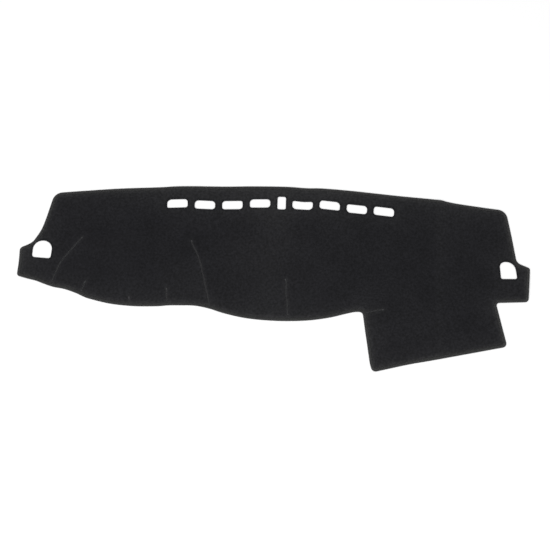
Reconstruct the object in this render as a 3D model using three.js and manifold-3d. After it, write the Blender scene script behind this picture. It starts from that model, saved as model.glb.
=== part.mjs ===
// Dashboard cover mat, lying flat with its flocked face up.
//
// One sheet of felt is cut to the plan of a car's dashboard. A row of slots lets the defroster
// blow through it and a round-topped hole at each end clears a side window vent. Seven darts,
// closed with zigzag stitching, draw its front edge in so that it turns down over the instrument
// hood and the centre of the dashboard. The cut edge is overlocked with thread all round.
//
// Millimetres. X runs along the dashboard, Y towards the windscreen, Z up. The origin is on the
// floor under the middle of the mat.

import * as THREE from 'three';
import { mergeVertices } from 'three/addons/utils/BufferGeometryUtils.js';
import Module from 'manifold-3d';

const wasm = await Module();
wasm.setup();

// Whole mat. The pattern below is drawn for a mat 1440 by 540 mm, and graded to these sizes.
const MAT_LENGTH = 1440;
const MAT_DEPTH = 540;
const LENGTH_GRADE = MAT_LENGTH / 1440;
const DEPTH_GRADE = MAT_DEPTH / 540;
const ROUND_GRADE = Math.min(LENGTH_GRADE, DEPTH_GRADE); // corner radii, and the height of swells

// Felt sheet
const FELT_THICKNESS = 4;

// Overlocked edge
const OVERLOCK_WIDTH = 8.5; // how far the thread reaches in over each face
const OVERLOCK_WRAP = 1.2; // thread built up round the cut edge
const OVERLOCK_LAYER = 0.6; // thread lying on each face
const SEAT_GAP = 0.3; // between the felt and any thread laid in it

// Dart seams
const GROOVE_WIDTH = 7;
const GROOVE_DEPTH = 1.3;
const THREAD_DIAMETER = 0.8;
const ZIGZAG_WIDTH = 4.6; // from the middle of the thread at one side to the middle at the other
const STITCH_PITCH = 6; // one zig and one zag

// Defroster slots
const SLOT_LENGTH = 58.5;
const SLOT_WIDTH = 26.5;
const CENTRE_SLOT_LENGTH = 40;
const CENTRE_SLOT_WIDTH = 24;

// How finely curves are cut into facets
const ARC_STEP = THREE.MathUtils.degToRad(18);
const EDGE_FACET = 22;
const DART_FACET = 8;
const SWELL_FACETS = 10;
const CLOSEST_LINES = 14;

const FELT_COLOUR = 0x252527;
const THREAD_COLOUR = 0x2e2e30;

const corner = (x, y, radius) => ({ x, y, radius });
const gradedCorner = (x, y, radius) => corner(x, y, radius * ROUND_GRADE);
const via = (x, y) => ({ x, y, radius: 0 });
const graded = (place) => ({ ...place, x: place.x * LENGTH_GRADE, y: place.y * DEPTH_GRADE });

// The plan, anticlockwise from the left end of the windscreen edge.
const plan = [
  gradedCorner(-639.5, 217.5, 30.5),
  // Left pillar edge, hollowed to clear the side window vent
  via(-648, 176),
  via(-656.9, 134),
  via(-665.6, 103),
  via(-679, 76),
  via(-689.6, 61.7),
  // Left tab
  gradedCorner(-720.2, 44, 12.5),
  via(-718.1, 4),
  gradedCorner(-719.2, -39.5, 8.5),
  // Front edge of the instrument hood
  via(-692, -46),
  via(-664, -51.9),
  via(-641, -59.8),
  via(-614, -67.7),
  via(-582, -72.6),
  via(-548, -83.1),
  via(-530, -90.9),
  via(-508, -98.1),
  via(-450, -109.5),
  via(-385, -113.4),
  via(-320, -110.6),
  via(-290, -106.8),
  via(-262, -105.1),
  via(-216, -103.8),
  via(-176, -109.9),
  // Front edge of the centre bulge
  via(-128, -123),
  via(-64, -134),
  via(16, -137.1),
  via(95, -132.5),
  via(158, -121.4),
  via(206, -107.3),
  via(230, -101),
  // Flap that hangs in front of the passenger
  gradedCorner(252.8, -98.8, 11),
  via(262.2, -160),
  via(266.8, -187),
  via(276, -244),
  gradedCorner(283.8, -272.8, 12),
  via(326, -260.6),
  via(388, -243.8),
  via(461, -227.1),
  gradedCorner(653.6, -180.9, 12),
  gradedCorner(623.4, -55, 8),
  // Right tab
  gradedCorner(714.2, -48.2, 10.5),
  gradedCorner(720.2, 52.6, 8.5),
  gradedCorner(683.1, 67.2, 22),
  // Right pillar edge and the windscreen edge
  via(669.4, 147),
  gradedCorner(654.2, 225.4, 30),
  via(598, 230.7),
  via(520, 239.4),
  via(484, 245.2),
  via(455, 250),
  via(344, 256.3),
  via(216, 265.2),
  via(130, 269),
  via(82, 267.7),
  via(24, 269.2),
  via(-71, 266),
  via(-151, 261.3),
  via(-247, 258),
  via(-295, 255),
  via(-342, 249.7),
  via(-454, 240.2),
  via(-550, 228.8),
].map(graded);

// Each slot's middle, its tilt in degrees, its corner radii from the back left one clockwise, and
// how far the middle of its back edge dips.
const slots = [
  { x: -285.3, y: 202.2, tilt: 4.5, radii: [13, 9, 7, 4], dip: 0 },
  { x: -206.3, y: 201.8, tilt: 0, radii: [11, 11, 9, 8], dip: 0 },
  { x: -127.8, y: 204.7, tilt: 3.5, radii: [10, 6, 10, 7], dip: 0 },
  { x: -48.8, y: 213.8, tilt: 3, radii: [12, 9, 10, 6], dip: 0 },
  { x: 73, y: 213.5, tilt: -1, radii: [6, 6, 13, 12], dip: 2 },
  { x: 150.9, y: 217.2, tilt: -4, radii: [9, 13, 5, 9], dip: 0 },
  { x: 228.7, y: 209.1, tilt: -3.7, radii: [6, 11, 9, 12], dip: 0 },
  { x: 306, y: 205.5, tilt: -4.5, radii: [8, 11, 7, 9], dip: 0 },
].map(graded);
const centreSlot = graded({ x: 13, y: 217.8, tilt: 1, radii: [5, 5, 5, 5], dip: 0 });

// The two holes that clear the side window vents, each flat at the front and round at the back.
const leftVent = [
  gradedCorner(-683.5, 18.5, 8),
  gradedCorner(-630.8, 16.5, 7),
  gradedCorner(-628.8, 70, 26),
  gradedCorner(-683.5, 70, 27),
].map(graded);
const rightVent = [
  gradedCorner(638.5, 16.5, 5),
  gradedCorner(684.3, 18.6, 6),
  gradedCorner(677, 69, 26),
  gradedCorner(634, 69, 16),
].map(graded);

// Each dart's line, from its point in the felt to its mouth in the cut edge.
const darts = {
  hood_left: [
    [-546, 86], [-576, 43.8], [-599.5, 8.6], [-606.5, -9.7], [-617.1, -43.7], [-622.5, -65.3],
  ],
  hood_front_1: [[-524, -46], [-537.8, -87.3]],
  hood_front_2: [[-399, -86.5], [-398, -113.3]],
  hood_front_3: [[-296.5, -56], [-292, -106.9]],
  hood_right: [
    [-237.5, 91], [-231, 74], [-219.5, 54.5], [-206.2, 20], [-194.7, -21], [-178.7, -79.6],
    [-170.5, -111.3],
  ],
  centre: [[32.5, -14.5], [37, -22], [37.6, -36], [37.2, -54], [42.3, -86], [45.2, -136.3]],
  flap: [[312.6, -90.2], [289.1, -95.1], [271.5, -99.8], [253.2, -106.8]],
};

// Low swells where a dart or a curled corner lifts the felt off the floor.
const swells = [
  { x: -400, y: 2, reachX: 215, reachY: 118, height: 14 }, // instrument hood
  { x: 40, y: -48, reachX: 150, reachY: 90, height: 6 }, // centre bulge
  { x: 302, y: -62, reachX: 80, reachY: 60, height: 3 }, // root of the flap
  { x: 470, y: 275, reachX: 24, reachY: 200, height: 1.6 }, // fold left from packing
  { x: -740, y: -6, reachX: 72, reachY: 75, height: 4 }, // left tab
  { x: 740, y: -2, reachX: 62, reachY: 78, height: 3.5 }, // right tab
  { x: 268, y: -292, reachX: 75, reachY: 62, height: 3.5 }, // front corner of the flap
].map((swell) => ({
  ...graded(swell),
  reachX: swell.reachX * LENGTH_GRADE,
  reachY: swell.reachY * DEPTH_GRADE,
  height: swell.height * ROUND_GRADE,
}));

// Height of the felt's underside over the floor. A swell is 1 at its middle and runs out level.
function relief(x, y) {
  let height = 0;
  for (const swell of swells) {
    const rise = 1 - ((x - swell.x) / swell.reachX) ** 2 - ((y - swell.y) / swell.reachY) ** 2;
    if (rise > 0) height += swell.height * rise * rise;
  }
  return height;
}

// The arc that rounds one corner: where it starts and ends, and its circle.
function filletOf(before, point, after) {
  const here = new THREE.Vector2(point.x, point.y);
  const back = new THREE.Vector2(before.x, before.y).sub(here).normalize();
  const on = new THREE.Vector2(after.x, after.y).sub(here).normalize();
  const half = Math.acos(back.dot(on)) / 2;
  const tangent = point.radius / Math.tan(half);
  const start = here.clone().addScaledVector(back, tangent);
  const end = here.clone().addScaledVector(on, tangent);
  const towards = back.clone().add(on).normalize();
  const centre = here.clone().addScaledVector(towards, point.radius / Math.sin(half));
  return {
    start,
    end,
    centre,
    radius: point.radius,
    from: start.clone().sub(centre).angle(),
    to: end.clone().sub(centre).angle(),
    clockwise: back.cross(on) > 0,
  };
}

// A closed path through a plan that starts at a corner. The points between two corners are joined
// by one smooth curve, and two corners by a straight edge.
function pathOf(points) {
  const count = points.length;
  const fillets = points.map((point, i) =>
    point.radius ? filletOf(points[(i + count - 1) % count], point, points[(i + 1) % count]) : null
  );
  const path = new THREE.Path();
  path.moveTo(fillets[0].end.x, fillets[0].end.y);
  let between = [];
  for (let i = 1; i <= count; i++) {
    const fillet = fillets[i % count];
    if (!fillet) {
      between.push(new THREE.Vector2(points[i].x, points[i].y));
      continue;
    }
    if (between.length) path.splineThru([...between, fillet.start]);
    const { centre, radius, from, to, clockwise } = fillet;
    path.absarc(centre.x, centre.y, radius, from, to, clockwise);
    between = [];
  }
  return path;
}

// The corners of a smooth curve's facets: each is as long as allowed, or turns as far as an arc's.
function splineFacets(curve, facet) {
  const length = Math.round(curve.getLength());
  const kept = [0];
  for (let i = 1; i < length; i++) {
    const turned = curve.getTangentAt(kept.at(-1) / length).angleTo(curve.getTangentAt(i / length));
    if (turned > ARC_STEP || i - kept.at(-1) >= facet) kept.push(i);
  }
  return kept.map((i) => curve.getPointAt(i / length));
}

// The corners of a path's facets: arcs by angle, smooth curves as above, straight edges whole.
function facetsOf(path, facet) {
  return path.curves.flatMap((curve) => {
    let pieces = 1;
    if (curve.isEllipseCurve) pieces = Math.ceil(curve.getLength() / curve.xRadius / ARC_STEP);
    if (curve.isSplineCurve) return splineFacets(curve, facet);
    return curve.getSpacedPoints(pieces).slice(0, -1);
  }).filter((point, i, all) => point.distanceTo(all[(i + 1) % all.length]) > 0.01);
}

// The plan of a slot, as a rounded rectangle that may dip in the middle of its back edge.
function slotPlan({ x, y, tilt, radii, dip }, length, width) {
  const [backLeft, backRight, frontRight, frontLeft] = radii;
  const turn = THREE.MathUtils.degToRad(tilt);
  const place = (along, across) =>
    new THREE.Vector2(along, across).rotateAround(new THREE.Vector2(), turn).add({ x, y });
  const rounded = (along, across, radius) => {
    const { x: px, y: py } = place(along * length / 2, across * width / 2);
    return corner(px, py, radius);
  };
  const middle = place(0, width / 2 - dip);
  return [
    rounded(1, 1, backRight),
    ...(dip ? [via(middle.x, middle.y)] : []),
    rounded(-1, 1, backLeft),
    rounded(-1, -1, frontLeft),
    rounded(1, -1, frontRight),
  ];
}

// A closed mesh as a solid that booleans can use.
function solidOf(geometry) {
  geometry.deleteAttribute('normal');
  geometry.deleteAttribute('uv');
  const merged = mergeVertices(geometry);
  return new wasm.Manifold(new wasm.Mesh({
    numProp: 3,
    vertProperties: merged.attributes.position.array,
    triVerts: merged.index.array,
  }));
}

function geometryOf(solid) {
  const mesh = solid.getMesh();
  const positions = new THREE.BufferAttribute(mesh.vertProperties, 3);
  const geometry = new THREE.BufferGeometry().setAttribute('position', positions);
  geometry.setIndex(new THREE.BufferAttribute(mesh.triVerts, 1));
  geometry.computeVertexNormals();
  return geometry;
}

// An upright prism that passes through the felt, wherever it swells.
function prismOf(points) {
  const low = -2 * FELT_THICKNESS;
  const high = 2 * FELT_THICKNESS + swells.reduce((sum, swell) => sum + swell.height, 0);
  const geometry = new THREE.ExtrudeGeometry(new THREE.Shape(points), {
    depth: high - low,
    bevelEnabled: false,
  });
  return solidOf(geometry.translate(0, 0, low));
}

// A skin over a row of rings, each with the same number of corners. An endless row joins its last
// ring to its first, and any other is capped at both ends.
function loft(rings, endless) {
  const around = rings[0].length;
  const at = (ring, i) => (ring % rings.length) * around + (i % around);
  const index = [];
  for (let ring = 0; ring < rings.length - (endless ? 0 : 1); ring++) {
    for (let i = 0; i < around; i++) {
      index.push(at(ring, i), at(ring, i + 1), at(ring + 1, i + 1));
      index.push(at(ring, i), at(ring + 1, i + 1), at(ring + 1, i));
    }
  }
  for (let i = 1; i < around - 1 && !endless; i++) {
    index.push(at(0, 0), at(0, i + 1), at(0, i));
    index.push(at(rings.length - 1, 0), at(rings.length - 1, i), at(rings.length - 1, i + 1));
  }
  const geometry = new THREE.BufferGeometry().setFromPoints(rings.flat());
  geometry.setIndex(index);
  geometry.computeVertexNormals();
  return geometry;
}

// The inward normal at each corner of a closed outline, lengthened so that offsets keep their width.
function inwardNormals(points) {
  return points.map((point, i) => {
    const before = points[(i + points.length - 1) % points.length];
    const after = points[(i + 1) % points.length];
    const into = point.clone().sub(before).normalize();
    const out = after.clone().sub(point).normalize();
    const normal = new THREE.Vector2(-into.y - out.y, into.x + out.x).normalize();
    return normal.divideScalar(new THREE.Vector2(-into.y, into.x).dot(normal));
  });
}

// A section carried round the cut edge. A section point is how far it lies in from the edge, and
// its height over the felt's underside.
function sweepEdge(outline, section) {
  const normals = inwardNormals(outline);
  const rings = outline.map((point, i) =>
    section.map(([inward, height]) => {
      const { x, y } = point.clone().addScaledVector(normals[i], inward);
      return new THREE.Vector3(x, y, height + relief(x, y));
    })
  );
  return loft(rings, true);
}

// The overlock's section: a thin layer on each face, joined round the edge by a half ellipse.
function overlockSection() {
  const turns = [-90, -45, 0, 45, 90].map(THREE.MathUtils.degToRad);
  const round = turns.map((turn) => [
    OVERLOCK_WRAP * (1 - Math.cos(turn)),
    FELT_THICKNESS / 2 * (1 + Math.sin(turn)),
  ]);
  return [
    ...round.reverse(),
    [OVERLOCK_WIDTH, 0],
    [OVERLOCK_WIDTH, OVERLOCK_LAYER],
    [OVERLOCK_WRAP, OVERLOCK_LAYER],
    [OVERLOCK_WRAP, FELT_THICKNESS - OVERLOCK_LAYER],
    [OVERLOCK_WIDTH, FELT_THICKNESS - OVERLOCK_LAYER],
    [OVERLOCK_WIDTH, FELT_THICKNESS],
  ];
}

// What the overlock takes from the felt: all but a tongue that the thread wraps.
function overlockSeat() {
  const beyond = FELT_THICKNESS;
  const reach = OVERLOCK_WIDTH + SEAT_GAP;
  const tongueEnd = OVERLOCK_WRAP + SEAT_GAP;
  const tongueFoot = OVERLOCK_LAYER + SEAT_GAP;
  const tongueTop = FELT_THICKNESS - tongueFoot;
  return [
    [-beyond, FELT_THICKNESS + beyond],
    [-beyond, -beyond],
    [reach, -beyond],
    [reach, tongueFoot],
    [tongueEnd, tongueFoot],
    [tongueEnd, tongueTop],
    [reach, tongueTop],
    [reach, FELT_THICKNESS + beyond],
  ];
}

// Grid lines along one axis: close together across a swell, and none where the felt lies flat.
function gridLines(low, high, middle, reach) {
  const lines = swells.flatMap((swell) => {
    const step = 2 * swell[reach] / SWELL_FACETS;
    return Array.from({ length: SWELL_FACETS + 1 }, (_, i) => swell[middle] - swell[reach] + i * step);
  });
  const inside = lines.filter((line) => line > low && line < high).sort((a, b) => a - b);
  const kept = [low];
  for (const line of [...inside, high]) {
    if (line - kept.at(-1) > CLOSEST_LINES || line === high) kept.push(line);
  }
  return kept;
}

// A slab as thick as the felt that follows the swells, wider than the mat all round.
function swollenSlab(outline) {
  const box = new THREE.Box2().setFromPoints(outline).expandByScalar(OVERLOCK_WIDTH);
  const xs = gridLines(box.min.x, box.max.x, 'x', 'reachX');
  const ys = gridLines(box.min.y, box.max.y, 'y', 'reachY');
  const layer = (height) =>
    ys.flatMap((y) => xs.map((x) => new THREE.Vector3(x, y, height + relief(x, y))));
  const corners = [...layer(0), ...layer(FELT_THICKNESS)];
  const top = xs.length * ys.length;
  const at = (column, row) => row * xs.length + column;
  const index = [];
  const quad = (a, b, c, d) => index.push(a, b, c, a, c, d);
  for (let row = 0; row < ys.length - 1; row++) {
    for (let column = 0; column < xs.length - 1; column++) {
      const [a, b] = [at(column, row), at(column + 1, row)];
      const [c, d] = [at(column + 1, row + 1), at(column, row + 1)];
      quad(top + a, top + b, top + c, top + d);
      quad(d, c, b, a);
    }
  }
  const [lastColumn, lastRow] = [xs.length - 1, ys.length - 1];
  for (let column = 0; column < lastColumn; column++) {
    const [a, b] = [at(column, 0), at(column + 1, 0)];
    const [c, d] = [at(column, lastRow), at(column + 1, lastRow)];
    quad(a, b, top + b, top + a);
    quad(d, c, top + c, top + d);
  }
  for (let row = 0; row < lastRow; row++) {
    const [a, b] = [at(0, row), at(0, row + 1)];
    const [c, d] = [at(lastColumn, row), at(lastColumn, row + 1)];
    quad(b, a, top + a, top + b);
    quad(c, d, top + d, top + c);
  }
  const geometry = new THREE.BufferGeometry().setFromPoints(corners).setIndex(index);
  return solidOf(geometry);
}

// Places along a dart: the point, and the direction across the seam.
function dartStations(line, from, to, step) {
  const places = line.map(([x, y]) => new THREE.Vector3(x * LENGTH_GRADE, y * DEPTH_GRADE, 0));
  const curve = new THREE.CatmullRomCurve3(places);
  const length = curve.getLength();
  const count = Math.max(1, Math.round((length - from - to) / step));
  return Array.from({ length: count + 1 }, (_, i) => {
    const share = (from + i / count * (length - from - to)) / length;
    const { x, y } = curve.getTangentAt(share);
    return { point: curve.getPointAt(share), across: new THREE.Vector3(-y, x, 0) };
  });
}

// A dart's groove, sunk in the flocked face and run out through the cut edge.
function grooveOf(line) {
  const wall = GROOVE_WIDTH / 2;
  const floor = FELT_THICKNESS - GROOVE_DEPTH;
  const section = [
    [-wall, FELT_THICKNESS + GROOVE_DEPTH],
    [-wall, floor + SEAT_GAP],
    [-wall + SEAT_GAP, floor],
    [wall - SEAT_GAP, floor],
    [wall, floor + SEAT_GAP],
    [wall, FELT_THICKNESS + GROOVE_DEPTH],
  ];
  const rings = dartStations(line, 0, 0, DART_FACET).map(({ point, across }) =>
    section.map(([sideways, height]) => {
      const place = point.clone().addScaledVector(across, sideways);
      return place.setZ(height + relief(place.x, place.y));
    })
  );
  return solidOf(loft(rings, false));
}

// A dart's stitching: one thread that zigzags along the floor of the groove, from the dart's point
// to the inner edge of the overlock.
function zigzagThread(line) {
  const radius = THREAD_DIAMETER / 2;
  const height = FELT_THICKNESS - GROOVE_DEPTH + SEAT_GAP + radius;
  const slant = Math.atan2(ZIGZAG_WIDTH, STITCH_PITCH / 2);
  const mitre = radius / Math.cos(slant);
  const turns = [0, 72, 144, 216, 288].map(THREE.MathUtils.degToRad);
  const end = OVERLOCK_WIDTH + ZIGZAG_WIDTH / 2 + mitre;
  const stations = dartStations(line, STITCH_PITCH / 2, end, STITCH_PITCH / 2);
  const rings = stations.map(({ point, across }, i) => {
    const sideways = (i % 2 ? 1 : -1) * ZIGZAG_WIDTH / 2;
    return turns.map((turn) => {
      const place = point.clone().addScaledVector(across, sideways + mitre * Math.cos(turn));
      return place.setZ(height + radius * Math.sin(turn) + relief(place.x, place.y));
    });
  });
  return loft(rings, false);
}

function feltSheet(outline) {
  const cuts = [
    ...slots.map((slot) => slotPlan(slot, SLOT_LENGTH, SLOT_WIDTH)),
    slotPlan(centreSlot, CENTRE_SLOT_WIDTH, CENTRE_SLOT_LENGTH),
    leftVent,
    rightVent,
  ];
  let sheet = swollenSlab(outline).intersect(prismOf(outline));
  sheet = sheet.subtract(solidOf(sweepEdge(outline, overlockSeat())));
  for (const cut of cuts) sheet = sheet.subtract(prismOf(facetsOf(pathOf(cut), EDGE_FACET)));
  for (const line of Object.values(darts)) sheet = sheet.subtract(grooveOf(line));
  return geometryOf(sheet);
}

function named(name, geometry, material) {
  const mesh = new THREE.Mesh(geometry, material);
  mesh.name = name;
  return mesh;
}

const felt = new THREE.MeshStandardMaterial({ color: FELT_COLOUR, roughness: 1, metalness: 0 });
const thread = new THREE.MeshStandardMaterial({ color: THREAD_COLOUR, roughness: 0.7, metalness: 0 });

const outline = facetsOf(pathOf(plan), EDGE_FACET);
const mat = new THREE.Group();
mat.name = 'dashboard_mat';
mat.add(named('felt_sheet', feltSheet(outline), felt));
mat.add(named('edge_overlock', sweepEdge(outline, overlockSection()), thread));
for (const [place, line] of Object.entries(darts)) {
  mat.add(named(`dart_stitching_${place}`, zigzagThread(line), thread));
}

// The origin goes under the middle of the plan.
const middle = new THREE.Box2().setFromPoints(outline).getCenter(new THREE.Vector2());
mat.position.set(-middle.x, -middle.y, 0);

export default mat;
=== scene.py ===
"""Dashboard cover mat, laid flat with its flocked face up, photographed from above its front edge."""

import bpy
import numpy as np
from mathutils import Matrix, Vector
from mathutils.geometry import delaunay_2d_cdt


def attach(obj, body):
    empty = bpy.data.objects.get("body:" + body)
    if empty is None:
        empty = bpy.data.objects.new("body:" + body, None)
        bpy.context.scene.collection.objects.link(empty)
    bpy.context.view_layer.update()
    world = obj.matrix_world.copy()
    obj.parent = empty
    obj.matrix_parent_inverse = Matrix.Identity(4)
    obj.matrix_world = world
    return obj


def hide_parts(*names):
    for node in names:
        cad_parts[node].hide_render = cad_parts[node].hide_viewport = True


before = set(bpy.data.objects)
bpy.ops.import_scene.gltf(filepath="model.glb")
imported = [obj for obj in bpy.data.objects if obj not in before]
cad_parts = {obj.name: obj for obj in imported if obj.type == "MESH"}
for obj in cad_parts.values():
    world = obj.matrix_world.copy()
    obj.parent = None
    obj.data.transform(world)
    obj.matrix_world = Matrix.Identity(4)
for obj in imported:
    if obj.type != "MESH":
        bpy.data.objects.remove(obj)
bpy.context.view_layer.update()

MM = 0.001

# Sizes in millimetres, as the mat is made.
FELT_THICKNESS = 4.0
OVERLOCK_WIDTH = 8.5
GROOVE_DEPTH = 1.3
SEAM_THREAD = 0.8
ZIGZAG_WIDTH = 4.6
SLOT_LENGTH, SLOT_WIDTH = 58.5, 26.5
CENTRE_SLOT_LENGTH, CENTRE_SLOT_WIDTH = 40.0, 24.0

# The middle of the pattern, which the origin lies under.
MIDDLE = (0.02, -0.38, 0.0)

# The overlock's threads and how they press the felt.
OVERLOCK_THREAD = 1.2
OVERLOCK_PITCH = 2.6
OVERLOCK_BULK = 0.35  # how far the bulked yarn stands out past the cut edge
NEEDLE_LINE = OVERLOCK_WIDTH - OVERLOCK_THREAD / 2
NEEDLE_THREAD = 0.64
TONGUE = FELT_THICKNESS - 2 * OVERLOCK_THREAD
PRESSED_FROM = NEEDLE_LINE - OVERLOCK_THREAD / 2
PRESSED_WIDTH = 3.5
BACK_PRESSED_WIDTH = 1.5
LOOP_ROUNDING = 0.96  # 1 would turn each loop in a point
LOOP_REACH = 1.06  # each loop passes the needle line and the middle of the edge a little
LOOP_LEAN = 0.22  # how far a loop lags at the cut edge, in stitches

# The sewing of the darts, and the valley that it draws the felt into, with a low shoulder each side.
SEAM_PITCH = 3.0
SEAM_HEIGHT = 3.65
SEAM_DIP = 0.75
SEAM_ROUNDING = 0.97
SEAM_CLEAR = 1.0  # from the dart's point, and from the overlock
TACK_LENGTH = 5.0
TACK_PITCH = 1.25
VALLEY = 2.4
VALLEY_REACH = 12.0
VALLEY_FROM, VALLEY_TO = -1.0, 12.0  # its run out, by the distance from the dart's point
SHOULDER_PLACE, SHOULDER_WIDTH, SHOULDER_HEIGHT = 5.8, 2.4, 0.35

# How the felt turns down at the rim of a cut hole.
TURNED_WIDTH = 1.6
TURNED_TOP, TURNED_BACK = 0.7, 0.25

# The wall between the two faces: how far in from the cut edge it stands, how far down its rows of
# points lie, and how far it bulges at the cut edge and in a hole.
WALL_INSET = 1.0
WALL_ROWS = (0.3, 0.7)
EDGE_BULGE, HOLE_BULGE = 0.6, 0.12

# How finely the felt is meshed: steps along its lines, and how far rows of points lie from them.
GRID_STEP = 4.0
LINE_STEP = 1.0
EDGE_STEP = 3.0
HOLE_STEP = 2.2
CORNER_STEP = np.radians(9.0)
EDGE_ROWS = (3.0, 5.0, 6.8, 8.0, 9.2, 10.8, 13.4)
HOLE_ROWS = (0.4, 0.9, 1.7, 3.4)
DART_ROWS = (-7.6, -5.8, -4.2, -2.9, -1.7, -0.6, 0.6, 1.7, 2.9, 4.2, 5.8, 7.6)
ROWS_FROM_EDGE = 2.5
GRID_FROM_EDGE, GRID_FROM_HOLES, GRID_FROM_DARTS = 16.0, 5.0, 10.0
CLOSEST_POINTS = 0.25  # points that lie closer than this are made one
SEGMENTS_AT_A_TIME = 24


def line(*points):
    """A list of points as an array."""
    return np.array(points, dtype=float)


# The plan, anticlockwise from the left end of the windscreen edge. A corner has a radius, and
# the points between two corners lie on one smooth curve.
PLAN = line(
    (-639.5, 217.5, 30.5),
    (-648, 176, 0), (-656.9, 134, 0), (-665.6, 103, 0), (-679, 76, 0), (-689.6, 61.7, 0),
    (-720.2, 44, 12.5), (-718.1, 4, 0), (-719.2, -39.5, 8.5),
    (-692, -46, 0), (-664, -51.9, 0), (-641, -59.8, 0), (-614, -67.7, 0), (-582, -72.6, 0),
    (-548, -83.1, 0), (-530, -90.9, 0), (-508, -98.1, 0), (-450, -109.5, 0), (-385, -113.4, 0),
    (-320, -110.6, 0), (-290, -106.8, 0), (-262, -105.1, 0), (-216, -103.8, 0), (-176, -109.9, 0),
    (-128, -123, 0), (-64, -134, 0), (16, -137.1, 0), (95, -132.5, 0), (158, -121.4, 0),
    (206, -107.3, 0), (230, -101, 0),
    (252.8, -98.8, 11),
    (262.2, -160, 0), (266.8, -187, 0), (276, -244, 0),
    (283.8, -272.8, 12),
    (326, -260.6, 0), (388, -243.8, 0), (461, -227.1, 0),
    (653.6, -180.9, 12), (623.4, -55, 8), (714.2, -48.2, 10.5), (720.2, 52.6, 8.5),
    (683.1, 67.2, 22),
    (669.4, 147, 0),
    (654.2, 225.4, 30),
    (598, 230.7, 0), (520, 239.4, 0), (484, 245.2, 0), (455, 250, 0), (344, 256.3, 0),
    (216, 265.2, 0), (130, 269, 0), (82, 267.7, 0), (24, 269.2, 0), (-71, 266, 0), (-151, 261.3, 0),
    (-247, 258, 0), (-295, 255, 0), (-342, 249.7, 0), (-454, 240.2, 0), (-550, 228.8, 0),
)

# Each slot's middle, tilt, corner radii from the back left one clockwise, and the dip of its back.
SLOTS = (
    (-285.3, 202.2, 4.5, (13, 9, 7, 4), 0),
    (-206.3, 201.8, 0, (11, 11, 9, 8), 0),
    (-127.8, 204.7, 3.5, (10, 6, 10, 7), 0),
    (-48.8, 213.8, 3, (12, 9, 10, 6), 0),
    (73, 213.5, -1, (6, 6, 13, 12), 2),
    (150.9, 217.2, -4, (9, 13, 5, 9), 0),
    (228.7, 209.1, -3.7, (6, 11, 9, 12), 0),
    (306, 205.5, -4.5, (8, 11, 7, 9), 0),
)
CENTRE_SLOT = (13, 217.8, 1, (5, 5, 5, 5), 0)
LEFT_VENT = line((-683.5, 18.5, 8), (-630.8, 16.5, 7), (-628.8, 70, 26), (-683.5, 70, 27))
RIGHT_VENT = line((638.5, 16.5, 5), (684.3, 18.6, 6), (677, 69, 26), (634, 69, 16))

# Each dart's line, from its point in the felt to its mouth in the cut edge.
DARTS = {
    "hood_left": line(
        (-546, 86), (-576, 43.8), (-599.5, 8.6), (-606.5, -9.7), (-617.1, -43.7), (-622.5, -65.3),
    ),
    "hood_front_1": line((-524, -46), (-537.8, -87.3)),
    "hood_front_2": line((-399, -86.5), (-398, -113.3)),
    "hood_front_3": line((-296.5, -56), (-292, -106.9)),
    "hood_right": line(
        (-237.5, 91), (-231, 74), (-219.5, 54.5), (-206.2, 20), (-194.7, -21), (-178.7, -79.6),
        (-170.5, -111.3),
    ),
    "centre": line((32.5, -14.5), (37, -22), (37.6, -36), (37.2, -54), (42.3, -86), (45.2, -136.3)),
    "flap": line((312.6, -90.2), (289.1, -95.1), (271.5, -99.8), (253.2, -106.8)),
}

# How much paler the pile is painted, as painted sheen towards the sewn edge, the holes and the darts,
# and over which distance that fades. A band of painted sheen lies beside the overlock, whose two ends
# are given. Painted shade darkens a hole's rim and the felt beside some darts, and painted sheen lies
# along a crease.
EDGE_PALE, EDGE_FADE = 0.5, 30.0
BAND_PALE, BAND_FROM, BAND_TO = 0.48, 9.0, 17.0
HOLE_PALE, HOLE_FADE = 0.33, 16.0
RIM_SHADE, RIM_FROM, RIM_TO = 0.4, 3.5, 7.5
DART_PALE, DART_WIDTH = 0.26, 7.0
DIP_SHADE, DIP_WIDTH = 0.12, 3.0
CREASE_PALE, CREASE_WIDTH = 0.15, 2.0

# How far from a line its tone is worked out.
EDGE_TONE, HOLE_TONE, DART_TONE, DIP_TONE, CREASE_TONE = 160.0, 80.0, 20.0, 12.0, 8.0

# Folds left from packing: place along the mat, half width and how much paler the pile is there.
FOLDS = ((-8, 60, 0.19), (469, 14, 0.09))

# Soft patches of painted sheen and shade that make the pile paler or darker: middle, reach and by how
# much.
SHEEN_AND_SHADE_PATCHES = (
    (-705, 0, 40, 60, 0.2),
    (275, -200, 40, 90, 0.12),
    (300, -255, 70, 30, 0.1),
    (0, 262, 500, 22, 0.15),
    (0, 225, 420, 60, 0.2),
    (-100, 20, 55, 150, 0.1),
    (-10, 190, 50, 60, 0.1),
    (70, 80, 160, 130, 0.1),
    (-235, -30, 70, 70, 0.1),
    (490, 150, 60, 70, 0.08),
    (400, -140, 80, 100, 0.1),
    (-660, 140, 50, 80, -0.12),
)

# Short lines of painted shade where the felt dips beside a dart, and a line of painted sheen where it
# is creased.
DIPS = (
    line((-532, -43), (-543, -82)), line((-515, -49), (-526, -86)),
    line((-407.5, -88), (-407, -108)), line((-390, -88), (-389, -108)),
    line((-305, -58), (-301, -103)),
    line((-223, 84), (-206, 45), (-192, 5), (-180, -38), (-170, -80)),
)
CREASE = line((-194, -34), (-196, -48), (-197.5, -64))

# Low swells: middle, reach and height.
SWELLS = (
    (-400, 2, 215, 118, 14),
    (40, -48, 150, 90, 6),
    (302, -62, 80, 60, 3),
    (470, 275, 24, 200, 1.6),
    (-740, -6, 72, 75, 4),
    (740, -2, 62, 78, 3.5),
    (268, -292, 75, 62, 3.5),
)

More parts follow.
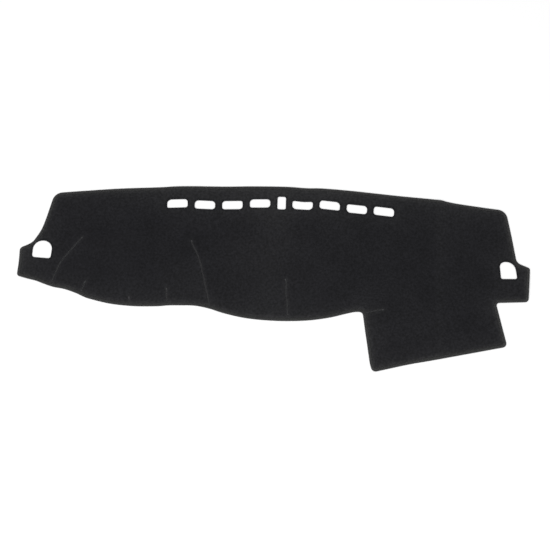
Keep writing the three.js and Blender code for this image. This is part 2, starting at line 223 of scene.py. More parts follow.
# The photograph's view: a long lens, high over the front edge and a little to the right.
TARGET = (4.5, -1.0, 0.0)
DISTANCE = 3648.6
AZIMUTH = np.radians(2.8)
ELEVATION = np.radians(70.0)
LENS, SENSOR = 85.0, 36.0
FAR_CLIP = 100.0

# The studio, in metres and watts.
FLOOR_REACH = 15.0
FLOOR_LIFT = 0.38  # how much of the floor's white is given to the camera alone
SKY_STRENGTH = 0.6
LAMP_PLACE = (-0.7, -2.3, 2.6)
LAMP_SIZE = 2.5
LAMP_POWER = 60.0


def relief(x, y):
    """Height of the felt's underside: the sum of h (1 - r squared) squared over the swells, where r
    is the distance from a swell's middle as a share of its reach, and nothing past that reach."""
    height = np.zeros(np.broadcast(x, y).shape)
    for middle_x, middle_y, reach_x, reach_y, rise in SWELLS:
        share = 1 - ((x - middle_x) / reach_x) ** 2 - ((y - middle_y) / reach_y) ** 2
        height += rise * np.clip(share, 0, None) ** 2
    return height


def smoothstep(low, high, value):
    """From 0 at the low value to 1 at the high one, level at both: 3 s squared less 2 s cubed, where
    s is the share of the way."""
    share = np.clip((value - low) / (high - low), 0, 1)
    return share * share * (3 - 2 * share)


def spline(points, step):
    """A cubic through the points, whose slope at each is half the step from the point before to the
    point after, cut about every step. The last point is left off."""
    ends = np.vstack([points[:1], points, points[-1:]])
    spans = []
    for before, start, end, after in zip(ends, ends[1:], ends[2:], ends[3:]):
        count = max(2, int(np.ceil(np.linalg.norm(end - start) / step)))
        t = (np.arange(count) / count)[:, None]
        out, into = (end - before) / 2, (after - start) / 2
        spans.append(
            (2 * start - 2 * end + out + into) * t**3
            + (3 * end - 3 * start - 2 * out - into) * t**2
            + out * t
            + start
        )
    return np.vstack(spans)


def fillet(before, corner, after):
    """The arc that rounds a corner, from its first tangent point to its last."""
    back, on = before[:2] - corner[:2], after[:2] - corner[:2]
    back, on = back / np.linalg.norm(back), on / np.linalg.norm(on)
    half = np.arccos(back @ on) / 2
    towards = (back + on) / np.linalg.norm(back + on)
    centre = corner[:2] + towards * corner[2] / np.sin(half)
    start = corner[:2] + back * corner[2] / np.tan(half) - centre
    end = corner[:2] + on * corner[2] / np.tan(half) - centre
    first = np.arctan2(start[1], start[0])
    sweep = np.arctan2(start[0] * end[1] - start[1] * end[0], start @ end)
    angles = first + sweep * np.linspace(0, 1, int(np.ceil(abs(sweep) / CORNER_STEP)) + 1)
    return centre + corner[2] * np.c_[np.cos(angles), np.sin(angles)]


def outline_of(plan, step):
    """A closed outline through a plan that starts at a corner: arcs at the corners, and between two
    of them a straight edge or one smooth curve."""
    count = len(plan)
    arcs = [
        fillet(plan[i - 1], plan[i], plan[(i + 1) % count]) if plan[i, 2] else None
        for i in range(count)
    ]
    pieces, between = [arcs[0][:-1]], [arcs[0][-1]]
    for i in range(1, count + 1):
        arc = arcs[i % count]
        if arc is None:
            between.append(plan[i, :2])
            continue
        pieces.append(spline(np.array(between + [arc[0]]), step))
        if i < count:
            pieces.append(arc[:-1])
        between = [arc[-1]]
    return np.vstack(pieces)


def spaced(points, step, closed=True):
    """The same line with its points moved to lie an equal way apart."""
    if closed:
        points = np.vstack([points, points[:1]])
    length = np.r_[0, np.cumsum(np.linalg.norm(np.diff(points, axis=0), axis=1))]
    count = int(round(length[-1] / step))
    at = np.linspace(0, length[-1], count + 1)
    even = np.c_[np.interp(at, length, points[:, 0]), np.interp(at, length, points[:, 1])]
    return even[:-1] if closed else even


def slot_outline(slot, length, width):
    """A rounded rectangle, tilted, whose back edge may dip in its middle."""
    x, y, tilt, (back_left, back_right, front_right, front_left), dip = slot
    corners = [(1, 1, back_right), (-1, 1, back_left), (-1, -1, front_left), (1, -1, front_right)]
    plan = [(a * length / 2, b * width / 2, radius) for a, b, radius in corners]
    if dip:
        plan.insert(1, (0, width / 2 - dip, 0))
    plan = np.array(plan, dtype=float)
    turn = np.radians(tilt)
    turned = plan[:, :2] @ np.array([[np.cos(turn), np.sin(turn)], [-np.sin(turn), np.cos(turn)]])
    return outline_of(np.c_[turned + (x, y), plan[:, 2]], EDGE_STEP)


def left_normals(points, closed=True):
    """The unit normal to the left of a line at each of its points."""
    if closed:
        along = np.roll(points, -1, axis=0) - np.roll(points, 1, axis=0)
    else:
        along = np.gradient(points, axis=0)
    along /= np.linalg.norm(along, axis=1)[:, None]
    return np.c_[-along[:, 1], along[:, 0]]


def distance_to(points, loop, reach, closed=True):
    """Distance from each point to a line of short segments, or the reach where it is further. A few
    segments are taken at a time, with the points that lie within reach of their box."""
    start = loop if closed else loop[:-1]
    along = (np.roll(loop, -1, axis=0) if closed else loop[1:]) - start
    nearest = np.full(len(points), float(reach))
    for few in np.array_split(np.arange(len(start)), len(start) // SEGMENTS_AT_A_TIME + 1):
        ends = np.vstack([start[few], start[few] + along[few]])
        near = ((points > ends.min(0) - reach) & (points < ends.max(0) + reach)).all(1)
        offset = points[near, None] - start[None, few]
        share = np.clip((offset * along[few]).sum(2) / (along[few] ** 2).sum(1), 0, 1)
        apart = ((offset - share[..., None] * along[few]) ** 2).sum(2)
        nearest[near] = np.minimum(nearest[near], np.sqrt(apart.min(1)))
    return nearest


def is_inside(points, loop):
    """Whether a point lies in a loop: a ray to its right crosses the loop an odd number of times. A
    few segments are taken at a time."""
    after = np.roll(loop, -1, axis=0)
    slanted = np.flatnonzero(loop[:, 1] != after[:, 1])
    x, y = points[:, :1], points[:, 1:]
    crossings = np.zeros(len(points), dtype=int)
    for few in np.array_split(slanted, len(slanted) // SEGMENTS_AT_A_TIME + 1):
        (x0, y0), (x1, y1) = loop[few].T, after[few].T
        passes = (y0 > y) != (y1 > y)
        crossings += (passes & (x < x0 + (y - y0) * (x1 - x0) / (y1 - y0))).sum(1)
    return crossings % 2 == 1


def new_object(name, vertices, faces, uv=None):
    """A mesh object at the origin from vertices in millimetres and faces of three or four corners."""
    mesh = bpy.data.meshes.new(name)
    mesh.vertices.add(len(vertices))
    mesh.vertices.foreach_set("co", ((vertices - np.array(MIDDLE)) * MM).astype(np.float32).ravel())
    corners = faces.shape[1]
    mesh.loops.add(faces.size)
    mesh.loops.foreach_set("vertex_index", faces.astype(np.int32).ravel())
    mesh.polygons.add(len(faces))
    mesh.polygons.foreach_set("loop_start", np.arange(0, faces.size, corners, dtype=np.int32))
    mesh.update(calc_edges=True)
    mesh.polygons.foreach_set("use_smooth", np.ones(len(faces), dtype=bool))
    if uv is not None:
        mesh.uv_layers.new(name="along").data.foreach_set("uv", uv.astype(np.float32).ravel())
    mesh.validate()
    piece = bpy.data.objects.new(name, mesh)
    bpy.context.scene.collection.objects.link(piece)
    return piece


def thread(name, path, normals, radius, sides, closed):
    """A round thread carried along a path: at each point a ring in the plane of the given normal and
    the normal crossed with the way along. An open thread is capped at both ends."""
    along = (np.roll(path, -1, 0) - np.roll(path, 1, 0)) if closed else np.gradient(path, axis=0)
    along /= np.linalg.norm(along, axis=1)[:, None]
    normals = normals - (normals * along).sum(1)[:, None] * along
    normals /= np.linalg.norm(normals, axis=1)[:, None]
    across = np.cross(along, normals)
    turn = np.arange(sides) / sides * 2 * np.pi
    sideways, outwards = np.cos(turn)[None, :, None], np.sin(turn)[None, :, None]
    ring = sideways * across[:, None] + outwards * normals[:, None]
    vertices = (path[:, None] + radius * ring).reshape(-1, 3)
    rows = len(path) if closed else len(path) - 1
    row, side = np.meshgrid(np.arange(rows), np.arange(sides), indexing="ij")
    after, beside = (row + 1) % len(path), (side + 1) % sides
    quads = np.stack(
        [row * sides + side, after * sides + side, after * sides + beside, row * sides + beside], -1
    ).reshape(-1, 4)
    halves = ((0, 1, 2), (0, 2, 3))
    faces = np.vstack([quads[:, half] for half in halves])
    length = np.r_[0, np.cumsum(np.linalg.norm(np.diff(path, axis=0), axis=1))]
    if closed:
        length = np.r_[length, length[-1] + np.linalg.norm(path[0] - path[-1])]
    u0, u1 = length[row.ravel()], length[row.ravel() + 1]
    v0, v1 = side.ravel() / sides, (side.ravel() + 1) / sides
    corner = [np.c_[u0, v0], np.c_[u1, v0], np.c_[u1, v1], np.c_[u0, v1]]
    uv = np.vstack([np.stack([corner[i] for i in half], 1) for half in halves])
    if not closed:
        fan = np.arange(1, sides - 1)
        last = (len(path) - 1) * sides
        caps = np.vstack([
            np.c_[np.zeros_like(fan), fan, fan + 1],
            np.c_[np.full_like(fan, last), last + fan + 1, last + fan],
        ])
        faces = np.vstack([faces, caps])
        uv = np.vstack([uv, np.zeros((len(caps), 3, 2))])
    return new_object(name, vertices, faces, uv.reshape(-1, 2))


# Lines that the felt and its threads share.
edge = spaced(outline_of(PLAN, LINE_STEP), EDGE_STEP)
edge_normals = left_normals(edge)
holes = [spaced(slot_outline(slot, SLOT_LENGTH, SLOT_WIDTH), HOLE_STEP) for slot in SLOTS]
holes.append(spaced(slot_outline(CENTRE_SLOT, CENTRE_SLOT_WIDTH, CENTRE_SLOT_LENGTH), HOLE_STEP))
holes += [spaced(outline_of(vent, LINE_STEP), HOLE_STEP) for vent in (LEFT_VENT, RIGHT_VENT)]
dart_lines = {
    place: np.vstack([spline(points, LINE_STEP), points[-1:]]) for place, points in DARTS.items()
}


def felt_surfaces(points):
    """Heights of the flocked face and of the back at points of the plan. The felt has its full
    thickness over the swells, less a thread on each face under the overlock. Along each dart it
    sinks in a valley and rises in a shoulder beside it, each the exponential of a distance squared,
    which run out at the dart's point. At a cut hole both faces turn in by a parabola."""
    x, y = points.T
    base = relief(x, y)
    from_edge = distance_to(points, edge, 2 * (NEEDLE_LINE + PRESSED_WIDTH))
    pressed = 1 - smoothstep(PRESSED_FROM, NEEDLE_LINE + PRESSED_WIDTH, from_edge)
    back_pressed = 1 - smoothstep(PRESSED_FROM, NEEDLE_LINE + BACK_PRESSED_WIDTH, from_edge)
    top = np.full(len(points), FELT_THICKNESS) - pressed * OVERLOCK_THREAD
    bottom = back_pressed * OVERLOCK_THREAD
    for hole in holes:
        near = distance_to(points, hole, 2 * TURNED_WIDTH)
        turned = np.clip(1 - near / TURNED_WIDTH, 0, 1) ** 2
        top -= TURNED_TOP * turned
        bottom += TURNED_BACK * turned
    for dart in dart_lines.values():
        near = distance_to(points, dart, VALLEY_REACH, closed=False)
        from_point = np.linalg.norm(points - dart[0], axis=1)
        depth = GROOVE_DEPTH * smoothstep(VALLEY_FROM, VALLEY_TO, from_point)
        top -= depth * np.exp(-((near / VALLEY) ** 2))
        rise = SHOULDER_HEIGHT * smoothstep(0.0, VALLEY_TO, from_point)
        top += rise * np.exp(-(((near - SHOULDER_PLACE) / SHOULDER_WIDTH) ** 2))
    return base + top, base + bottom


def paleness(points):
    """How much paler the pile is painted than in the middle of the mat: painted sheen towards the sewn
    edge, the holes and the darts and along a crease, painted shade at a hole's rim and beside darts,
    patches of painted sheen and shade, and paler bands along the folds it was packed in. Towards the
    edge and the holes it changes with the exponential of the distance, and at a dart, a dip, a crease,
    a fold or a patch with that of the distance squared."""
    def beside(path, reach, width):
        return np.exp(-((distance_to(points, path, reach, closed=False) / width) ** 2))

    from_edge = distance_to(points, edge, EDGE_TONE)
    pale = EDGE_PALE * np.exp(-from_edge / EDGE_FADE)
    pale += BAND_PALE * (1 - smoothstep(BAND_FROM, BAND_TO, from_edge))
    from_holes = np.min([distance_to(points, hole, HOLE_TONE) for hole in holes], axis=0)
    pale += HOLE_PALE * np.exp(-from_holes / HOLE_FADE)
    # painted shade at a hole's rim
    pale -= RIM_SHADE * (1 - smoothstep(RIM_FROM, RIM_TO, from_holes))
    for dart in dart_lines.values():
        pale += DART_PALE * beside(dart, DART_TONE, DART_WIDTH)
    for dip in DIPS:
        # painted shade beside a dart
        pale -= DIP_SHADE * beside(dip, DIP_TONE, DIP_WIDTH)
    # painted sheen along a crease
    pale += CREASE_PALE * beside(CREASE, CREASE_TONE, CREASE_WIDTH)
    for place, half_width, strength in FOLDS:
        pale += strength * np.exp(-(((points[:, 0] - place) / half_width) ** 2))
    for middle_x, middle_y, reach_x, reach_y, strength in SHEEN_AND_SHADE_PATCHES:
        off = ((points[:, 0] - middle_x) / reach_x) ** 2 + ((points[:, 1] - middle_y) / reach_y) ** 2
        pale += strength * np.exp(-off)
    return np.clip(pale, 0, 1)


def interior_points():
    """Rows of points beside each edge and dart, then a square grid over the rest of the plan."""
    rows = [edge + edge_normals * inset for inset in EDGE_ROWS]
    for hole in holes:
        rows += [hole - left_normals(hole) * inset for inset in HOLE_ROWS]
    for dart in dart_lines.values():
        side = left_normals(dart, closed=False)[::2]
        rows += [dart[::2] + side * offset for offset in DART_ROWS]
    rows = np.vstack(rows)
    far_in = distance_to(rows, edge, ROWS_FROM_EDGE + LINE_STEP) > ROWS_FROM_EDGE
    rows = rows[is_inside(rows, edge) & far_in]
    low, high = edge.min(0), edge.max(0)
    x, y = np.meshgrid(np.arange(low[0], high[0], GRID_STEP), np.arange(low[1], high[1], GRID_STEP))
    x = x + (np.arange(x.shape[0]) % 2)[:, None] * GRID_STEP / 2
    grid = np.c_[x.ravel(), y.ravel()]
    grid = grid[is_inside(grid, edge)]
    clear = distance_to(grid, edge, GRID_FROM_EDGE + LINE_STEP) > GRID_FROM_EDGE
    for hole in holes:
        clear &= distance_to(grid, hole, GRID_FROM_HOLES + LINE_STEP) > GRID_FROM_HOLES
        clear &= ~is_inside(grid, hole)
    for dart in dart_lines.values():
        near = distance_to(grid, dart, GRID_FROM_DARTS + LINE_STEP, closed=False)
        clear &= near > GRID_FROM_DARTS
    return np.vstack([rows, grid[clear]])


def wall(upper, lower, outside):
    """Two triangles for each step of a wall between two rings that run anticlockwise."""
    after_upper, after_lower = np.roll(upper, -1), np.roll(lower, -1)
    one = np.c_[upper, lower, after_lower]
    two = np.c_[upper, after_lower, after_upper]
    return [one, two] if outside else [one[:, ::-1], two[:, ::-1]]


def felt_sheet():
    """The felt: a triangulation of the plan, lifted to the flocked face and to the back, with a wall
    round the outside and round each hole that bulges a little between its rims. The triangulation
    takes and gives lists, and says which of its points came from which."""
    rim = edge + edge_normals * WALL_INSET
    loops = [rim, *holes]
    inner = interior_points()
    points = np.vstack([*loops, inner])
    starts = np.r_[0, np.cumsum([len(loop) for loop in loops])]
    rings = [list(range(a, b)) for a, b in zip(starts, starts[1:])]
    found, _, triangles, came_from, _, _ = delaunay_2d_cdt(
        [Vector(p) for p in points.tolist()], [], rings, 2, CLOSEST_POINTS
    )
    plan = np.array([tuple(p) for p in found])
    triangles = np.array(triangles)
    back_to = {old: new for new, olds in enumerate(came_from) for old in olds}
    a, b, c = plan[triangles[:, 0]], plan[triangles[:, 1]], plan[triangles[:, 2]]
    flipped = (b - a)[:, 0] * (c - a)[:, 1] - (b - a)[:, 1] * (c - a)[:, 0] < 0
    triangles[flipped] = triangles[flipped][:, ::-1]
    top, bottom = felt_surfaces(plan)
    pale = paleness(plan)
    count = len(plan)
    vertices = [np.c_[plan, top], np.c_[plan, bottom]]
    faces = [triangles, triangles[:, ::-1] + count]
    total = 2 * count
    for number, ring in enumerate(rings):
        at = np.array([back_to[i] for i in ring])
        at = at[np.r_[True, at[1:] != at[:-1]]]
        outside = number == 0
        outward = -left_normals(plan[at]) if outside else left_normals(plan[at])
        bulge = EDGE_BULGE if outside else HOLE_BULGE
        previous = at
        for level in WALL_ROWS:
            spot = plan[at] + outward * bulge
            height = top[at] * (1 - level) + bottom[at] * level
            vertices.append(np.c_[spot, height])
            row = total + np.arange(len(at))
            faces += wall(previous, row, outside)
            previous = row
            total += len(at)
        faces += wall(previous, at + count, outside)
    faces = np.vstack(faces)
    felt = new_object("felt_sheet_flocked", np.vstack(vertices), faces)
    backing = np.zeros(len(faces), dtype=np.int32)
    backing[len(triangles): 2 * len(triangles)] = 1
    felt.data.polygons.foreach_set("material_index", backing)
    # the walls' points take the palest painted sheen
    everywhere = np.full(total, pale.max())
    everywhere[: 2 * count] = np.r_[pale, pale]
    felt.data.attributes.new("paleness", "FLOAT", "POINT").data.foreach_set("value", everywhere)
    return felt


def along_edge(at):
    """Places on the cut edge by the way along it: the point, and its unit normal into the felt."""
    closed = np.vstack([edge, edge[:1]])
    normals = np.vstack([edge_normals, edge_normals[:1]])
    length = np.r_[0, np.cumsum(np.linalg.norm(np.diff(closed, axis=0), axis=1))]
    at = at * length[-1]
    point = np.c_[np.interp(at, length, closed[:, 0]), np.interp(at, length, closed[:, 1])]
    normal = np.c_[np.interp(at, length, normals[:, 0]), np.interp(at, length, normals[:, 1])]
    return point, normal / np.linalg.norm(normal, axis=1)[:, None]


def edge_stitches():
    """How many whole stitches go round the cut edge."""
    return int(round(np.linalg.norm(np.roll(edge, -1, 0) - edge, axis=1).sum() / OVERLOCK_PITCH))


def wrapped(reach, upper):
    """Where a thread lies that wraps the felt's tongue: in from the cut edge, up from the back, and
    the way out of the felt. A reach of 0 is the middle of the cut edge, and 1 is the needle line."""
    radius = (TONGUE + OVERLOCK_THREAD) / 2
    centre_in = OVERLOCK_THREAD / 2 + radius - OVERLOCK_BULK
    quarter = radius * np.pi / 2
    way = reach * (quarter + NEEDLE_LINE - centre_in)
    angle = np.clip(way, None, quarter) / radius
    inward = centre_in - radius * np.cos(angle) + np.clip(way - quarter, 0, None)
    height = radius * np.sin(angle)
    sign = 1 if upper else -1
    return inward, FELT_THICKNESS / 2 + sign * height, -np.cos(angle), sign * np.sin(angle)


def overlock_looper(name, upper):
    """One looper thread: a triangle wave with rounded turns, the arc sine of a cosine, takes it from
    the needle line to the middle of the cut edge and back once a stitch, wrapping the edge."""
    stitches = edge_stitches()
    per_stitch = 12
    t = np.arange(stitches * per_stitch) / per_stitch
    swing = np.arcsin(LOOP_ROUNDING * np.cos(2 * np.pi * t)) / np.arcsin(LOOP_ROUNDING)
    reach = (1 + LOOP_REACH * swing) / 2
    lean = LOOP_LEAN if upper else -LOOP_LEAN
    point, normal = along_edge(((t + lean * (1 - reach)) / stitches) % 1)
    inward, height, out, up = wrapped(reach, upper)
    place = point + normal * inward[:, None]
    path = np.c_[place, height + relief(*place.T)]
    facing = np.c_[normal * out[:, None], up]
    return thread(name, path, facing, OVERLOCK_THREAD / 2, sides=5, closed=True)


def overlock_needle(name):
    """The needle thread: a dash from each hole to the next along the needle line. It lies on the
    felt, less the eighth power of a cosine that sinks it at the holes."""
    lies, sinks, beside = 0.05, 1.1, 0.1
    stitches = edge_stitches()
    per_stitch = 6
    t = np.arange(stitches * per_stitch) / per_stitch
    point, normal = along_edge(t / stitches)
    place = point + normal * (NEEDLE_LINE + beside)
    height = FELT_THICKNESS - lies - sinks * np.cos(np.pi * t) ** 8
    path = np.c_[place, height + relief(*place.T)]
    facing = np.tile((0.0, 0.0, 1.0), (len(path), 1))
    return thread(name, path, facing, NEEDLE_THREAD / 2, sides=5, closed=True)


def dart_thread(name, dart):
    """A dart's zigzag: a triangle wave with rounded turns takes the thread from side to side of the
    seam, and the sixth power of that wave sinks it into the felt where it turns. The zigzags are
    close together in a tack at the dart's point, and then apart as far as the overlock."""
    length = np.r_[0, np.cumsum(np.linalg.norm(np.diff(dart, axis=0), axis=1))]
    begin, end = SEAM_CLEAR, length[-1] - OVERLOCK_WIDTH - SEAM_CLEAR
    tacks = int(round(TACK_LENGTH / TACK_PITCH))
    zigzags = tacks + int(round((end - begin - TACK_LENGTH) / SEAM_PITCH))
    per_zigzag = 16
    t = np.arange(zigzags * per_zigzag + 1) / per_zigzag
    at = np.interp(t, [0, tacks, zigzags], [begin, begin + TACK_LENGTH, end])
    side = left_normals(dart, closed=False)
    swing = np.arcsin(SEAM_ROUNDING * np.cos(2 * np.pi * t)) / np.arcsin(SEAM_ROUNDING)
    point = np.c_[np.interp(at, length, dart[:, 0]), np.interp(at, length, dart[:, 1])]
    across = np.c_[np.interp(at, length, side[:, 0]), np.interp(at, length, side[:, 1])]
    place = point + across * (swing * ZIGZAG_WIDTH / 2)[:, None]
    height = SEAM_HEIGHT - SEAM_DIP * np.abs(swing) ** 6
    path = np.c_[place, height + relief(*place.T)]
    facing = np.tile((0.0, 0.0, 1.0), (len(path), 1))
    return thread(name, path, facing, SEAM_THREAD / 2, sides=8, closed=False)


def linear(hex_colour):
    """An sRGB hex colour as linear light: a straight line near black, and a power of 2.4 above it."""
    value = np.array([int(hex_colour[i: i + 2], 16) for i in (1, 3, 5)]) / 255
    return (*np.where(value <= 0.04045, value / 12.92, ((value + 0.055) / 1.055) ** 2.4), 1.0)


def new_material(name):
    """A material with no nodes yet."""
    material = bpy.data.materials.new(name)
    material.use_nodes = True
    material.node_tree.nodes.clear()
    return material


def node(material, kind, settings=(), **links):
    """Add a node. Settings are the node's own properties. Links set a socket to a value or to another
    node's output socket, and name it in words joined by underscores."""
    made = material.node_tree.nodes.new(kind)
    for key, value in dict(settings).items():
        setattr(made, key, value)
    for key, value in links.items():
        plain = key.replace("_", " ").lower()
        socket = next(s for s in made.inputs if s.name.lower() == plain and s.enabled)
        if isinstance(value, bpy.types.NodeSocket):
            material.node_tree.links.new(value, socket)
        else:
            socket.default_value = value
    return made


def ramp(made, *stops):
    """Give a colour ramp its stops, each a position and a linear colour."""
    elements = made.color_ramp.elements
    while len(elements) < len(stops):
        elements.new(0.5)
    for element, (position, colour) in zip(elements, stops):
        element.position = position
        element.color = colour
    return made


# Lengths in metres that set a pattern's scale. A fibre of the pile is about 0.02 mm thick, so it is
# drawn as coarse as it needs to be to show.
FIBRE = 0.0009
CLUMP = 0.006
PATCH = 0.09
DOT_SPACING = 0.009

# A Mix node's sockets for colours.
MIX_A, MIX_B, MIXED = 6, 7, 2


def noise(material, place, length, detail, roughness):
    """A cloudy pattern whose clouds are about as wide as the length."""
    settings = {"Vector": place, "Scale": 1 / length, "Detail": detail, "Roughness": roughness}
    return node(material, "ShaderNodeTexNoise", **settings)


def flocked_felt():
    """Polyester needle felt with a flocked face: short matt black fibres that swallow light, a slight
    mottle where the pile leans, and a paler tone painted in from the paleness, as painted sheen and
    shade."""
    material = new_material("polyester flocked felt")
    place = node(material, "ShaderNodeTexCoord").outputs["Object"]
    fibre = noise(material, place, FIBRE, 3.0, 0.6)
    clump = noise(material, place, CLUMP, 2.0, 0.5)
    patch = noise(material, place, PATCH, 1.5, 0.4)
    lean = ramp(
        node(material, "ShaderNodeValToRGB", Fac=patch.outputs["Fac"]),
        (0.3, linear("#18181b")),
        (0.7, linear("#1d1d20")),
    )
    sheen_amount = node(material, "ShaderNodeAttribute", {"attribute_name": "paleness"})
    # painted sheen and shade: the paleness mixes the felt towards a paler grey
    sheened = node(material, "ShaderNodeMix", {"data_type": "RGBA"}, Factor=sheen_amount.outputs["Fac"])
    material.node_tree.links.new(lean.outputs["Color"], sheened.inputs[MIX_A])
    sheened.inputs[MIX_B].default_value = linear("#2f2f30")
    tips = ramp(
        node(material, "ShaderNodeValToRGB", Fac=fibre.outputs["Fac"]),
        (0.28, (0.6, 0.6, 0.6, 1)),
        (0.72, (1.4, 1.4, 1.4, 1)),
    )
    tufts = ramp(
        node(material, "ShaderNodeValToRGB", Fac=clump.outputs["Fac"]),
        (0.3, (0.66, 0.66, 0.66, 1)),
        (0.7, (1.34, 1.34, 1.34, 1)),
    )
    multiply = {"data_type": "RGBA", "blend_type": "MULTIPLY"}
    colour = sheened.outputs[MIXED]
    for layer in (tips, tufts):
        mix = node(material, "ShaderNodeMix", multiply, Factor=1.0)
        material.node_tree.links.new(colour, mix.inputs[MIX_A])
        material.node_tree.links.new(layer.outputs["Color"], mix.inputs[MIX_B])
        colour = mix.outputs[MIXED]
    fine = node(material, "ShaderNodeBump", Height=fibre.outputs["Fac"], Strength=0.9, Distance=0.0004)
    bump = node(
        material, "ShaderNodeBump", Height=clump.outputs["Fac"], Strength=0.5, Distance=0.0008,
        Normal=fine.outputs["Normal"],
    )
    shader = node(
        material, "ShaderNodeBsdfPrincipled", Base_Color=colour, Normal=bump.outputs["Normal"],
        Roughness=0.85, Specular_IOR_Level=0.15, Sheen_Weight=0.04, Sheen_Roughness=0.5,
    )
    node(material, "ShaderNodeOutputMaterial", Surface=shader.outputs["BSDF"])
    return material


def felt_back():
    """Back of the felt: a thin calendered scrim, smoother than the pile, with a grid of small clear
    silicone dots that grip the dashboard and catch the light."""
    material = new_material("non-woven scrim with silicone dots")
    place = node(material, "ShaderNodeTexCoord").outputs["Object"]
    fibre = noise(material, place, FIBRE, 3.0, 0.6)
    dots = node(
        material, "ShaderNodeTexVoronoi", {"voronoi_dimensions": "2D"},
        Vector=place, Scale=1 / DOT_SPACING, Randomness=0.0,
    )
    dot = ramp(
        node(material, "ShaderNodeValToRGB", Fac=dots.outputs["Distance"]),
        (0.15, (1, 1, 1, 1)),
        (0.2, (0, 0, 0, 1)),
    )
    shade = ramp(
        node(material, "ShaderNodeValToRGB", Fac=fibre.outputs["Fac"]),
        (0.3, linear("#1c1c1e")),
        (0.7, linear("#29292b")),
    )
    bump = node(material, "ShaderNodeBump", Height=dot.outputs["Color"], Strength=0.8, Distance=0.0004)
    rough = node(material, "ShaderNodeMapRange", Value=dot.outputs["Color"], To_Min=0.9, To_Max=0.35)
    shader = node(
        material, "ShaderNodeBsdfPrincipled", Base_Color=shade.outputs["Color"],
        Roughness=rough.outputs["Result"], Normal=bump.outputs["Normal"], Specular_IOR_Level=0.3,
    )
    node(material, "ShaderNodeOutputMaterial", Surface=shader.outputs["BSDF"])
    return material


def sewing_thread(name, shade, painted_highlight, twist):
    """Polyester thread: black plies twisted together, with a painted highlight along each ply and
    painted shade between them, and a low sheen in the shader, that make the sewing stand out paler
    than the felt."""
    material = new_material(name)
    spot = node(material, "ShaderNodeUVMap", {"uv_map": "along"}).outputs["UV"]
    turned = node(material, "ShaderNodeMapping", Vector=spot, Scale=(1 / twist, 1.0, 1.0))
    plies = node(
        material, "ShaderNodeTexWave", {"bands_direction": "DIAGONAL"},
        Vector=turned.outputs["Vector"], Scale=1.0, Distortion=0.6, Detail=1.0,
    )
    colour = ramp(
        node(material, "ShaderNodeValToRGB", Fac=plies.outputs["Fac"]),
        (0.1, linear(shade)),
        (0.8, linear(painted_highlight)),
    )
    bump = node(material, "ShaderNodeBump", Height=plies.outputs["Fac"], Strength=0.5, Distance=0.0002)
    shader = node(
        material, "ShaderNodeBsdfPrincipled", Base_Color=colour.outputs["Color"], Roughness=0.6,
        Normal=bump.outputs["Normal"], Sheen_Weight=0.15, Sheen_Roughness=0.4,
    )
    node(material, "ShaderNodeOutputMaterial", Surface=shader.outputs["BSDF"])
    return material


def floor_material():
    """White studio floor: what the camera sees of it is lifted to white, and a shadow still shows."""
    material = new_material("white studio floor")
    rays = node(material, "ShaderNodeLightPath").outputs
    seen = rays["Is Camera Ray"]
    for kind in ("Is Glossy Ray", "Is Transmission Ray"):
        either = node(material, "ShaderNodeMath", {"operation": "MAXIMUM"})
        material.node_tree.links.new(seen, either.inputs[0])
        material.node_tree.links.new(rays[kind], either.inputs[1])
        seen = either.outputs[0]
    part = node(material, "ShaderNodeMath", {"operation": "MULTIPLY"})
    material.node_tree.links.new(seen, part.inputs[0])
    part.inputs[1].default_value = FLOOR_LIFT
    lift = node(material, "ShaderNodeEmission", Color=(1, 1, 1, 1), Strength=part.outputs[0])
    paint = node(material, "ShaderNodeBsdfDiffuse", Color=(0.8, 0.8, 0.8, 1))
    both = material.node_tree.nodes.new("ShaderNodeAddShader")
    material.node_tree.links.new(lift.outputs[0], both.inputs[0])
    material.node_tree.links.new(paint.outputs[0], both.inputs[1])
    node(material, "ShaderNodeOutputMaterial", Surface=both.outputs[0])
    return material


def camera():
    """The photograph's camera, on a line from the target at the view's azimuth and elevation."""
    data = bpy.data.cameras.new("camera")
    data.lens, data.sensor_width = LENS, SENSOR
    data.clip_end = FAR_CLIP
    made = bpy.data.objects.new("camera", data)
    back = np.array([
        np.sin(AZIMUTH) * np.cos(ELEVATION), -np.cos(AZIMUTH) * np.cos(ELEVATION), np.sin(ELEVATION)
    ])
    made.location = (np.array(TARGET) + back * DISTANCE) * MM
    made.rotation_euler = (np.pi / 2 - ELEVATION, 0.0, AZIMUTH)
    bpy.context.scene.collection.objects.link(made)
    bpy.context.scene.camera = made


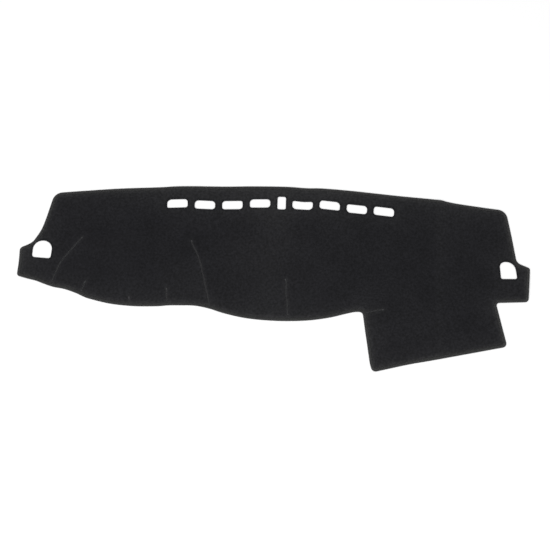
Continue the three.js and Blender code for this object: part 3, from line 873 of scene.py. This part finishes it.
def studio():
    """A white floor, an even white sky and one broad soft lamp in front, high up and a little to the
    left."""
    mesh = bpy.data.meshes.new("floor")
    corners = [(-1, -1), (1, -1), (1, 1), (-1, 1)]
    mesh.from_pydata([(x * FLOOR_REACH, y * FLOOR_REACH, 0) for x, y in corners], [], [(0, 1, 2, 3)])
    floor = bpy.data.objects.new("floor", mesh)
    floor.data.materials.append(floor_material())
    bpy.context.scene.collection.objects.link(floor)
    world = bpy.data.worlds.new("studio sky")
    world.use_nodes = True
    sky = world.node_tree.nodes["Background"]
    sky.inputs["Color"].default_value = (1, 1, 1, 1)
    sky.inputs["Strength"].default_value = SKY_STRENGTH
    bpy.context.scene.world = world
    lamp_data = bpy.data.lights.new("soft lamp", "AREA")
    lamp_data.shape, lamp_data.size = "SQUARE", LAMP_SIZE
    lamp_data.energy = LAMP_POWER
    lamp = bpy.data.objects.new("soft lamp", lamp_data)
    lamp.location = LAMP_PLACE
    lamp.rotation_euler = (-lamp.location).to_track_quat("-Z", "Y").to_euler()
    bpy.context.scene.collection.objects.link(lamp)


def finish_piece(piece, slot, *materials):
    """Give a piece its materials and its body. The slot is not used."""
    for material in materials:
        piece.data.materials.append(material)
    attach(piece, "root")
    return piece


felt = felt_sheet()
finish_piece(felt, "flocked_felt", flocked_felt(), felt_back())
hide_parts("felt_sheet")

overlock_yarn = sewing_thread("bulked polyester overlock yarn", "#262626", "#3c3c3c", 0.9)
overlock = [
    overlock_looper("overlock_upper_looper", upper=True),
    overlock_looper("overlock_lower_looper", upper=False),
    overlock_needle("overlock_needle_thread"),
]
for piece in overlock:
    finish_piece(piece, "overlock_thread", overlock_yarn)
    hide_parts("edge_overlock")

dart_yarn = sewing_thread("spun polyester sewing thread", "#272729", "#3c3c3e", 0.8)
for place, dart in dart_lines.items():
    piece = finish_piece(dart_thread(f"dart_zigzag_{place}", dart), "dart_thread", dart_yarn)
    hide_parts(f"dart_stitching_{place}")

camera()
studio()
bpy.context.scene.view_settings.view_transform = "Standard"
